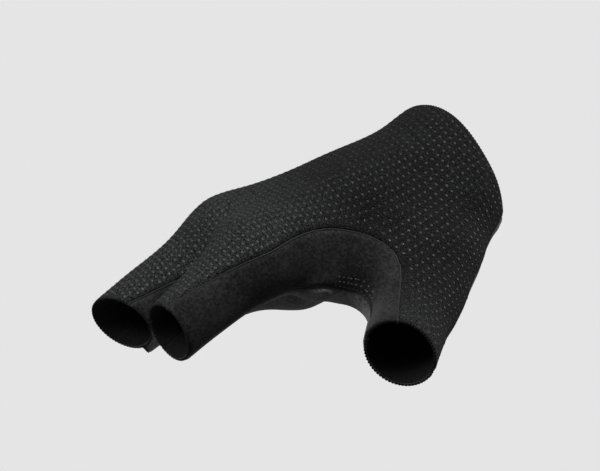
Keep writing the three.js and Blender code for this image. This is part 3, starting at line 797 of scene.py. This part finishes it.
def tangents(points, triangles, places):
    """Change of a vertex's position with its pattern place, from the mean over its triangles."""
    a, b, c = (points[triangles[:, i]] for i in range(3))
    fa, fb, fc = (places[triangles[:, i]] for i in range(3))
    (u1, v1), (u2, v2) = (fb - fa).T, (fc - fa).T
    size = u1 * v2 - u2 * v1
    size = np.where(np.abs(size) < TINY, TINY, size)[:, None]
    by_across = ((b - a) * v2[:, None] - (c - a) * v1[:, None]) / size
    by_along = ((c - a) * u1[:, None] - (b - a) * u2[:, None]) / size
    total, count = np.zeros((2, *points.shape)), np.zeros(len(points))
    for corner in triangles.T:
        np.add.at(total[0], corner, by_across)
        np.add.at(total[1], corner, by_along)
        np.add.at(count, corner, 1)
    return total / np.maximum(count, 1)[:, None]


def dot_places(points, triangles, places, pitch):
    """Lattice crossings: the nearest vertex to each, moved by the rest of the way in the pattern."""
    cell = np.round(places / pitch).astype(int)
    miss = places - cell * pitch
    reach = np.hypot(*miss.T)
    order = np.argsort(reach)
    order = order[reach[order] < LATTICE_REACH * pitch.min()]
    _, first = np.unique(cell[order], axis=0, return_index=True)
    chosen = order[first]
    by_across, by_along = tangents(points, triangles, places)
    moved = points[chosen] - by_across[chosen] * miss[chosen, :1] - by_along[chosen] * miss[chosen, 1:]
    return move_to_zero(outer_face, moved), by_across[chosen]


def clear_of_edges(points, margin):
    """True where every seam, hem and the cuff are further away than the margin."""
    return (seam_distance(points) > margin) & (past_hem(points) < -margin) & (past_cuff(points) < -margin)


def dots(name, centres, across, size=1.0):
    """The dome's template on each centre, turned so that its long side runs across the pattern."""
    normal = normals_of(centres)
    across = across - normal * np.einsum("ij,ij->i", across, normal)[:, None]
    across /= np.linalg.norm(across, axis=1)[:, None]
    axes = np.stack([across, np.cross(normal, across), normal], axis=1)
    template, faces = dome()
    template = template * size
    placed = centres + normal * relief(centres)[:, None]
    vertices = placed[:, None] + np.einsum("tk,nkj->ntj", template, axes)
    numbered = faces + np.arange(len(centres))[:, None, None] * len(template)
    made = new_object(name, vertices.reshape(-1, 3), numbered.reshape(-1, 3))
    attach(made, "root")
    print(name, "dots:", len(centres), "triangles:", numbered.size // 3)
    return made


centres, across = dot_places(back_points, back_triangles, knit_places, DOT_PITCH)
inside_panel = clear_of_edges(centres, DOT_MARGIN) & (back_height(centres) > 0)
knit_dots = dots("knit_dots", centres[inside_panel], across[inside_panel])

# %% [markdown]
# Where two panels meet they are overlocked, and the seam shows as a thin roll of thread. It closes
# the gap between the panels too. A curve with a bevel could run along it, but the seam is already in
# the cut mesh: each rim vertex gets a small oval ring, and each rim edge joins two rings.

# %% Seam rolls
ROLL_SIDES = 8
ROLL_WIDTH, ROLL_DEPTH = 0.34, 1.15
ROLL_SEAT, GUSSET_ROLL_LEAN = 0.8, 0.12
ON_EDGE = 0.05


def ring_frames(points, rim, count):
    """Two axes for each rim vertex: out of the cloth, and into the panel square to the rim."""
    normals = normals_of(points)
    inward = np.cross(normals[rim[:, 0]], points[rim[:, 1]] - points[rim[:, 0]])
    pull = np.zeros((count, 3))
    np.add.at(pull, rim[:, 0], inward)
    np.add.at(pull, rim[:, 1], inward)
    return normals, pull / np.maximum(np.linalg.norm(pull, axis=1), TINY)[:, None]


def seam_roll(name, rim, lean):
    """Rings of an oval profile on the rim's vertices, joined along its edges and closed at its ends."""
    used, renumbered = np.unique(rim, return_inverse=True)
    rim, points = renumbered.reshape(-1, 2), cloth.vertices[used]
    normals, inward = ring_frames(points, rim, len(points))
    angle = np.arange(ROLL_SIDES) * TURN / ROLL_SIDES
    half = ROLL_DEPTH / 2
    centre = points + normals * (relief(points) - half + SEAM_SINK * ROLL_SEAT)[:, None] + inward * lean
    rings = (centre[:, None] + inward[:, None] * (np.cos(angle) * ROLL_WIDTH)[:, None]
             + normals[:, None] * (np.sin(angle) * half)[:, None])
    this, after = np.arange(ROLL_SIDES), (np.arange(ROLL_SIDES) + 1) % ROLL_SIDES
    a, b = rim[:, :1] * ROLL_SIDES, rim[:, 1:] * ROLL_SIDES
    quads = np.stack([a + this, b + this, b + after, a + after], axis=2).reshape(-1, 4)
    faces = np.concatenate([quads[:, [0, 1, 2]], quads[:, [0, 2, 3]]])
    fan = np.stack([np.zeros(ROLL_SIDES - 2, int), this[1:-1], this[2:]], axis=1)
    starts, ends = np.setdiff1d(rim[:, 0], rim[:, 1]), np.setdiff1d(rim[:, 1], rim[:, 0])
    caps = [(starts[:, None, None] * ROLL_SIDES + fan[:, ::-1]).reshape(-1, 3),
            (ends[:, None, None] * ROLL_SIDES + fan).reshape(-1, 3)]
    made = new_object(name, rings.reshape(-1, 3), np.concatenate([faces, *caps])[:, ::-1])
    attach(made, "root")
    print(name, "edges:", len(rim), "ends:", len(starts), len(ends))
    return made


def seam_rim(triangles, *others):
    """The rim of a panel without its hems, its cuff and the seams of other rolls."""
    rim = rim_edges(triangles)
    middle = cloth.vertices[rim].mean(axis=1)
    keep = (past_hem(middle) < -ON_EDGE) & (past_cuff(middle) < -ON_EDGE)
    for field in others:
        keep &= np.abs(field(middle)) > ON_EDGE
    return rim[keep]


gusset_roll = seam_roll("gusset_seam", seam_rim(web), GUSSET_ROLL_LEAN)
side_roll = seam_roll("side_seam", seam_rim(palm, gusset_field, *FOURCHETTE_FIELDS), 0)
strip_rolls = [seam_roll(name, seam_rim(strip), 0)
               for name, strip in zip(["seam_index_middle", "seam_middle_ring", "seam_ring_little"], strips)]

# %% [markdown]
# The cuff and the sleeves end in a raw-cut edge, which is finely scalloped by the loops of the knit.
# An array along a curve could repeat one loop. Here each loop is the same low dome as the dots, set
# in even steps round the ring and turned so that it points out past the edge.

# %% Loops on the cut edges
LOOP_PITCH, LOOP_OUT, LOOP_DEPTH = 1.2, -0.05, 0.55
LOOP_SHAPE = np.array([0.72, 1.1, 1.5])


def along_path(path, shares):
    """Places at shares of a path's length, each coordinate read off between its stations."""
    length = np.concatenate([[0], np.cumsum(np.linalg.norm(np.diff(path, axis=0), axis=1))])
    return np.stack([np.interp(shares * length[-1], length, column) for column in path.T], axis=1)


def even_ring(points, first, second, pitch):
    """A ring's vertices sorted by their angle, and places in even steps of its length."""
    reach = points - points.mean(axis=0)
    ring = points[np.argsort(np.arctan2(reach @ second, reach @ first))]
    ring = np.concatenate([ring, ring[:1]])
    count = round(np.linalg.norm(np.diff(ring, axis=0), axis=1).sum() / pitch)
    return along_path(ring, np.arange(count) / count)


def edge_rings():
    """The cuff's ring and each sleeve's: its places and the direction out past its edge."""
    rim = cloth.vertices[np.unique(rim_edges(trimmed))]
    at_cuff = np.abs(past_cuff(rim)) < ON_EDGE
    rings = [(even_ring(rim[at_cuff], np.array([1.0, 0, 0]), UP, LOOP_PITCH), np.array([0, -1.0, 0]))]
    limbs = [*SLEEVES, THUMB_SLEEVE_BONE]
    nearest = np.argmin([bone_distance(rim, limb.bone) for limb in limbs], axis=0)
    for number, limb in enumerate(limbs):
        own = rim[(nearest == number) & ~at_cuff]
        rings.append((even_ring(own, limb.side, limb.top, LOOP_PITCH), limb.hem_normal))
    return rings


def edge_loops(name):
    """Domes whose height points out past the edge, in the middle of the wall."""
    rings = edge_rings()
    places = np.concatenate([ring for ring, _ in rings])
    outward = np.concatenate([np.tile(way, (len(ring), 1)) for ring, way in rings])
    normal = normals_of(places)
    outward = outward - normal * np.einsum("ij,ij->i", outward, normal)[:, None]
    outward /= np.linalg.norm(outward, axis=1)[:, None]
    axes = np.stack([np.cross(normal, outward), normal, outward], axis=1)
    template, faces = dome()
    centres = places - normal * (WALL * LOOP_DEPTH) + outward * LOOP_OUT
    vertices = centres[:, None] + np.einsum("tk,nkj->ntj", template * LOOP_SHAPE, axes)
    numbered = faces + np.arange(len(places))[:, None, None] * len(template)
    made = new_object(name, vertices.reshape(-1, 3), numbered.reshape(-1, 3))
    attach(made, "root")
    print(name, "loops:", len(places))
    return made


cut_loops = edge_loops("edge_loops")

# %% [markdown]
# Three short rows of small printed dots stiffen the gusset's lower edge at the root of the thumb.
# They could be painted, but they catch the light, so they are the same dome, smaller. Each row is
# drawn along the cloth until it keeps its distance from the seam.

# %% Dots on the gusset's lower edge
ROW_PATH = np.array([(-38.2, 58.0, -12.8), (-37.8, 55.8, -14.3), (-37.9, 53.8, -16.0), (-38.6, 52.1, -17.7),
                     (-39.9, 51.0, -19.3), (-42.2, 50.8, -20.9), (-45.1, 51.5, -22.2)])
ROW_COUNT, ROW_DOTS, ROW_FIRST, ROW_STEP = 3, 10, 1.1, 1.3
PRINT_SIZE = 0.6


def drawn_to(field, points, rounds=5):
    """Moves points along the cloth until a field is zero, and back onto the outer face each time."""
    for _ in range(rounds):
        normal = normals_of(points)
        along = slope(field, points)
        along -= normal * np.einsum("ij,ij->i", along, normal)[:, None]
        size = np.maximum(np.einsum("ij,ij->i", along, along), LEAST_SEAM_STEEP)
        points = move_to_zero(outer_face, points - along * (field(points) / size)[:, None], 2)
    return points


def printed_rows():
    """Dots in even steps along the path, every second row moved by half a step."""
    rows = []
    for row in range(ROW_COUNT):
        shares = (np.arange(ROW_DOTS) + 0.5 * (row % 2)) / ROW_DOTS
        inset = ROW_FIRST + row * ROW_STEP
        rows.append(drawn_to(lambda points: gusset_field(points) + inset, along_path(ROW_PATH, shares)))
    return np.concatenate(rows)


row_dots = printed_rows()
row_across = np.tile(ROW_PATH[-1] - ROW_PATH[0], (len(row_dots), 1))
edge_dots = dots("edge_dots", row_dots, row_across, PRINT_SIZE)

# %% [markdown]
# Every finish is a tree of nodes. They could be wired by hand in the shader editor. Here a small
# class wraps a socket, so that shader maths is written as sums and products, and one maker adds
# every other node: its type, its settings first, and then its sockets' values or links.

# %% Helpers for materials
class Value:
    """A number's socket: each operator adds the Math node that does it."""

    def __init__(self, maker, socket):
        self.maker = maker
        self.socket = socket

    def math(self, operation, *numbers):
        return self.maker.add("ShaderNodeMath", {"operation": operation}, *numbers)

    def __add__(self, other):
        return self.math("ADD", self, other)

    def __radd__(self, other):
        return self.math("ADD", other, self)

    def __sub__(self, other):
        return self.math("SUBTRACT", self, other)

    def __rsub__(self, other):
        return self.math("SUBTRACT", other, self)

    def __mul__(self, other):
        return self.math("MULTIPLY", self, other)

    def __rmul__(self, other):
        return self.math("MULTIPLY", other, self)

    def __truediv__(self, other):
        return self.math("DIVIDE", self, other)

    def __rtruediv__(self, other):
        return self.math("DIVIDE", other, self)

    def sine(self):
        return self.math("SINE", self)

    def held(self):
        """Kept between 0 and 1."""
        return self.maker.add("ShaderNodeClamp", {}, self)


class Maker:
    """Adds nodes to one tree."""

    def __init__(self, tree):
        self.tree = tree

    def put(self, socket, value):
        if isinstance(value, Value):
            self.tree.links.new(value.socket, socket)
        else:
            socket.default_value = value

    def add(self, kind, settings, *inputs, output=0, **named):
        node = self.tree.nodes.new(kind)
        for name, value in settings.items():
            setattr(node, name, value)
        for place, value in enumerate(inputs):
            self.put(node.inputs[place], value)
        for name, value in named.items():
            self.put(node.inputs[name.replace("_", " ")], value)
        return Value(self, node.outputs[output])

    def split(self, vector):
        """The first two numbers of a vector."""
        first = self.add("ShaderNodeSeparateXYZ", {}, vector)
        return first, Value(self, first.socket.node.outputs[1])


class Finish(Maker):
    """One material: its shader, with the constants on its own sockets, and the cloths' patterns."""

    def __init__(self, name, **constants):
        self.material = bpy.data.materials.new(name)
        self.material.use_nodes = True
        super().__init__(self.material.node_tree)
        self.shader = self.tree.nodes["Principled BSDF"]
        for socket, value in constants.items():
            self.shader.inputs[socket.replace("_", " ")].default_value = value

    def places(self):
        return self.add("ShaderNodeTexCoord", {}, output="Object")

    def noise(self, per_metre, detail=2.0, rough=0.5):
        return self.add("ShaderNodeTexNoise", {}, Vector=self.places(), Scale=per_metre,
                        Detail=detail, Roughness=rough)

    def ramp(self, value, dark, light):
        """A colour from dark to light as the value goes from 0 to 1."""
        return self.add("ShaderNodeMix", {"data_type": "RGBA"}, output="Result",
                        Factor=value, A=(*dark, 1), B=(*light, 1))

    def colour(self, value):
        self.put(self.shader.inputs["Base Color"], value)

    def roughness(self, value):
        self.put(self.shader.inputs["Roughness"], value)

    def bump(self, height, distance):
        self.put(self.shader.inputs["Normal"],
                 self.add("ShaderNodeBump", {}, Strength=1.0, Distance=distance, Height=height))


# %% [markdown]
# The back is black knit. Its ribs run the length of the glove, each rib is a column of small loops,
# and the yarn is fuzzy. A picture of knit could be tiled over it, but it would repeat, so the loops
# are a product of two sine waves on the flat pattern, and a noise as fine as the yarn breaks them up.
# On the sleeves its loops lie closer together, and its colour is painted lighter there as painted light.

# %% Knit and its dots
KNIT_RIB, KNIT_ROW = 0.00066, 0.00074
RIB_SWAY, LOOP_CONTRAST, LOOP_LEVEL = 1.2, 0.4, 0.4
YARN_GRAIN, YARN_ROUGH, YARN_CONTRAST = 1900, 0.6, 3.4
PATCH_GRAIN, PATCH_CONTRAST, PATCH_LEVEL = 60, 0.6, 0.47
# painted light: how much lighter the knit and its dots are painted towards the sleeves
SLEEVES_FROM, SLEEVES_REACH, SLEEVES_PAINTED_LIGHT = 0.045, 0.035, 1.3
KNIT_SHADE = 0.6
KNIT_DARK, KNIT_LIGHT = (0.001, 0.001, 0.0011), (0.05, 0.0515, 0.053)
DOT_GRAIN, DOT_YARN_GRAIN = 260, 1600
DOT_LEVEL, DOTS_PAINTED_LIGHT = -0.22, 0.5
DOT_DARK, DOT_LIGHT = (0.006, 0.006, 0.0065), (0.06, 0.0615, 0.064)


def painted_light_on_sleeves(along):
    """Mask of the painted light: 0 over the back, 1 on the sleeves, and even between: (along - from) /
    reach, held.
    """
    return ((along - SLEEVES_FROM) / SLEEVES_REACH).held()


def knit_finish():
    """Loops as a chequer of ribs and rows, broken up by fine noise, over random tone and painted light."""
    knit = Finish("knit", Sheen_Weight=0.03, Sheen_Roughness=0.5, Specular_IOR_Level=0.08)
    across, along = knit.split(knit.add("ShaderNodeUVMap", {"uv_map": "pattern"}))
    rows = (along * (TURN / KNIT_ROW)).sine()
    sway = (along * (TURN / KNIT_ROW / 2)).sine() * RIB_SWAY
    ribs = (across * (TURN / KNIT_RIB) + sway).sine()
    yarn = knit.noise(YARN_GRAIN, 2, YARN_ROUGH)
    loops = (ribs * rows * LOOP_CONTRAST + (yarn - 0.5) * YARN_CONTRAST + LOOP_LEVEL).held()
    patches = knit.noise(PATCH_GRAIN, 3)
    # random patches of tone, and painted light that raises the colour towards the sleeves
    patches_and_painted_light = patches * PATCH_CONTRAST + PATCH_LEVEL + painted_light_on_sleeves(along) * SLEEVES_PAINTED_LIGHT
    knit.colour(knit.ramp((loops * patches_and_painted_light * KNIT_SHADE).held(), KNIT_DARK, KNIT_LIGHT))
    knit.roughness(0.62 + patches * 0.2)
    knit.bump(loops, 0.0002)
    return knit


def dot_finish():
    """Smoother loops, a little glossier than the ground, with painted light towards the sleeves."""
    dot = Finish("knit_dot", Specular_IOR_Level=0.28)
    shade, yarn = dot.noise(DOT_GRAIN, 2), dot.noise(DOT_YARN_GRAIN, 2)
    along = dot.split(dot.places())[1]
    # painted light raises the dots' colour towards the sleeves
    lightness = (shade + DOT_LEVEL + painted_light_on_sleeves(along) * DOTS_PAINTED_LIGHT).held()
    dot.colour(dot.ramp(lightness, DOT_DARK, DOT_LIGHT))
    dot.roughness(0.25 + shade * 0.14)
    dot.bump(yarn, 0.0001)
    return dot


knit = knit_finish()
dot = dot_finish()
print("nodes of the knit:", len(knit.tree.nodes), "of its dots:", len(dot.tree.nodes))

# %% [markdown]
# The gusset and the strips are smooth microfibre, and the palm is grey suede. Both are brushed: their short
# fibres lie this way and that, which gives a fine grain, and broad patches where they were stroked flat.
# Hair strands would be far too many, so a noise stands for each of the two, and some sheen for the light
# that the fibre tips catch. The drops on the gusset's edge are a rubber print, and their pale colour is
# partly a painted highlight.

# %% Brushed cloths and the print
NAP_GRAIN, NAP_DETAIL, NAP_ROUGH = 950, 3, 0.75
STROKES, SUEDE_STROKES = 85, 130
FLECK_GRAIN, FLECKS_FROM, FLECK_CONTRAST = 900, 0.72, 9
FIBRE_DARK, FIBRE_LIGHT = (0.0015, 0.0015, 0.0016), (0.032, 0.032, 0.033)
SUEDE_DARK, SUEDE_LIGHT = (0.03, 0.031, 0.032), (0.15, 0.152, 0.156)
PRINT_GRAIN = 700
# partly a painted highlight: the print's colour is paler than the strip
PRINT_HIGHLIGHT_DARK, PRINT_HIGHLIGHT_LIGHT = (0.03, 0.03, 0.031), (0.16, 0.162, 0.166)


def microfibre_finish():
    """Fine noise for the nap, a broad one where it is stroked flat, and pale flecks: their sum."""
    fibre = Finish("microfibre", Sheen_Weight=0.12, Sheen_Roughness=0.5, Specular_IOR_Level=0.2)
    nap, stroked = fibre.noise(NAP_GRAIN, NAP_DETAIL, NAP_ROUGH), fibre.noise(STROKES, 3)
    flecks = ((fibre.noise(FLECK_GRAIN, 1) - FLECKS_FROM) * FLECK_CONTRAST).held()
    shade = ((nap - 0.5) * 3.2 + (stroked - 0.5) * 1.4 + 0.36 + flecks).held()
    fibre.colour(fibre.ramp(shade, FIBRE_DARK, FIBRE_LIGHT))
    fibre.roughness(0.78 + nap * 0.18)
    fibre.bump(nap, 0.0002)
    return fibre


def suede_finish():
    """Fine nap, and lighter and darker patches where the nap lies over: their sum."""
    suede = Finish("suede", Sheen_Weight=0.35, Sheen_Roughness=0.55, Specular_IOR_Level=0.2)
    nap, patches = suede.noise(NAP_GRAIN, NAP_DETAIL, NAP_ROUGH), suede.noise(SUEDE_STROKES, 3)
    shade = ((nap - 0.5) * 2.8 + (patches - 0.5) * 1.2 + 0.5).held()
    suede.colour(suede.ramp(shade, SUEDE_DARK, SUEDE_LIGHT))
    suede.roughness(0.85 + nap * 0.14)
    suede.bump(nap, 0.0002)
    return suede


def print_and_highlight_finish():
    """Drops of a rubber print: cloudy, smooth, glossy, and paler than the strip, partly as a painted
    highlight.
    """
    drop = Finish("rubber_print_and_highlight", Specular_IOR_Level=0.4)
    cloudy = drop.noise(PRINT_GRAIN, 1)
    drop.colour(drop.ramp(cloudy, PRINT_HIGHLIGHT_DARK, PRINT_HIGHLIGHT_LIGHT))
    drop.roughness(0.22 + cloudy * 0.1)
    return drop


microfibre = microfibre_finish()
suede = suede_finish()
rubber = print_and_highlight_finish()
print("nodes of microfibre, suede and print:",
      [len(made.tree.nodes) for made in (microfibre, suede, rubber)])

# %% [markdown]
# Two plain finishes are left. The lining is what shows in the mouths of the cuff and the sleeves:
# dark, dull and finely grained. The seams are black thread, a little glossier than the cloths, whose
# twist could be modelled, but a roll of a third of a millimetre shows it only as a grain.

# %% Lining and thread
LINING_GRAIN, THREAD_GRAIN = 1400, 1500
LINING_DARK, LINING_LIGHT = (0.006, 0.006, 0.0062), (0.03, 0.03, 0.031)
THREAD_DARK, THREAD_LIGHT = (0.005, 0.005, 0.0055), (0.032, 0.032, 0.033)


def lining_finish():
    """The inside of the cloth: plain, dark and dull, with the knit's fine grain."""
    lining = Finish("lining", Specular_IOR_Level=0.05)
    grain = lining.noise(LINING_GRAIN, 2)
    lining.colour(lining.ramp(grain, LINING_DARK, LINING_LIGHT))
    lining.roughness(0.8 + grain * 0.1)
    return lining


def thread_finish():
    """Black thread of the overlock: fine twists across the roll."""
    thread = Finish("thread", Specular_IOR_Level=0.3, Sheen_Weight=0.08)
    twist = thread.noise(THREAD_GRAIN, 2)
    thread.colour(thread.ramp(twist, THREAD_DARK, THREAD_LIGHT))
    thread.roughness(0.5 + twist * 0.2)
    thread.bump(twist, 0.00015)
    return thread


lining = lining_finish()
thread = thread_finish()
print("nodes of lining and thread:", [len(made.tree.nodes) for made in (lining, thread)])

# %% [markdown]
# Each piece gets its finish. A cloth has two finishes, because its inside isn't dyed and brushed as its
# outside is: its inner face is the second run of faces in the mesh, as many as the outer face has.

# %% Dress the pieces
def dress(piece, finish):
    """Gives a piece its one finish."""
    piece.data.materials.clear()
    piece.data.materials.append(finish.material)


def line_inside(piece, outer_count, finish):
    """Gives the second run of faces, as long as the first, the finish of the inside."""
    piece.data.materials.append(finish.material)
    inside = np.zeros(len(piece.data.polygons), int)
    inside[outer_count:2 * outer_count] = 1
    piece.data.polygons.foreach_set("material_index", inside)


dress(back_cloth, knit)
dress(knit_dots, dot)
dress(edge_dots, rubber)
dress(palm_cloth, suede)
dress(gusset_cloth, microfibre)
dress(gusset_roll, thread)
dress(side_roll, thread)
for strip_roll in strip_rolls:
    dress(strip_roll, thread)
dress(cut_loops, lining)
for strip_cloth in strip_cloths:
    dress(strip_cloth, microfibre)
cloths = (back_cloth, palm_cloth, gusset_cloth, *strip_cloths)
for piece, triangles in zip(cloths, (back, palm, web, *strips)):
    line_inside(piece, len(triangles), lining)
print("materials:", len(bpy.data.materials))

# %% [markdown]
# The cloths are counted.

print("sheets:", len(cloths))

# %% [markdown]
# The stage. A floor that light falls on would show a pool of light and a shadow. This one glows
# evenly instead, as pale as the sky behind it, and gives the glove no light. A small key light stands
# where the dots by the web throw it back to the camera, a large one fills the other side, and two
# weak ones reach the underside and the cuff.

# %% Floor and lights
FLOOR_DEPTH, FLOOR_SIZE = 0.16, 8.0
PALE = (0.783, 0.783, 0.783, 1)
SKY_LIGHT = 0.12
# place, size, watts
LIGHTS = {"key": ((-0.6, -0.42, 0.78), 0.2, 9), "fill": ((-0.3, 0.55, 0.85), 0.6, 5),
          "bounce": ((0.0, 0.3, -0.9), 0.8, 0.5), "edge": ((0.1, -0.85, -0.1), 0.3, 1.5)}


def make_floor():
    """A plain sheet under the glove that is as pale as the wall behind and throws no light back."""
    mesh = bpy.data.meshes.new("floor")
    half = FLOOR_SIZE / 2
    mesh.from_pydata([(-half, -half, -FLOOR_DEPTH), (half, -half, -FLOOR_DEPTH),
                      (half, half, -FLOOR_DEPTH), (-half, half, -FLOOR_DEPTH)], [], [(0, 1, 2, 3)])
    floor = bpy.data.objects.new("floor", mesh)
    bpy.context.scene.collection.objects.link(floor)
    paint = Finish("floor_paint", Base_Color=(0, 0, 0, 1), Specular_IOR_Level=0.0,
                   Emission_Color=PALE, Emission_Strength=1.0)
    mesh.materials.append(paint.material)
    floor.visible_diffuse = floor.visible_glossy = floor.visible_shadow = False


def make_light(name, place, size, watts):
    """A square area light that looks at the middle of the glove."""
    data = bpy.data.lights.new(name, "AREA")
    data.size = size
    data.energy = watts
    light = bpy.data.objects.new(name, data)
    bpy.context.scene.collection.objects.link(light)
    place = Vector(place)
    turn = (Vector(VIEW_TARGET * MM) - place).to_track_quat("-Z", "Y").to_matrix().to_4x4()
    light.matrix_world = Matrix.Translation(place) @ turn


def make_sky():
    """One even colour: as pale as the floor where it is seen, and weak where it only lights."""
    world = bpy.data.worlds.new("sky")
    world.use_nodes = True
    background = world.node_tree.nodes["Background"]
    sky = Maker(world.node_tree)
    seen = sky.add("ShaderNodeLightPath", {}, output="Is Camera Ray")
    sky.put(background.inputs["Color"], PALE)
    sky.put(background.inputs["Strength"],
            sky.add("ShaderNodeMapRange", {}, Value=seen, To_Min=SKY_LIGHT))
    bpy.context.scene.world = world


make_floor()
for name, row in LIGHTS.items():
    make_light(name, *row)
make_sky()
bpy.context.scene.view_settings.view_transform = "Standard"
print("lights:", list(LIGHTS))
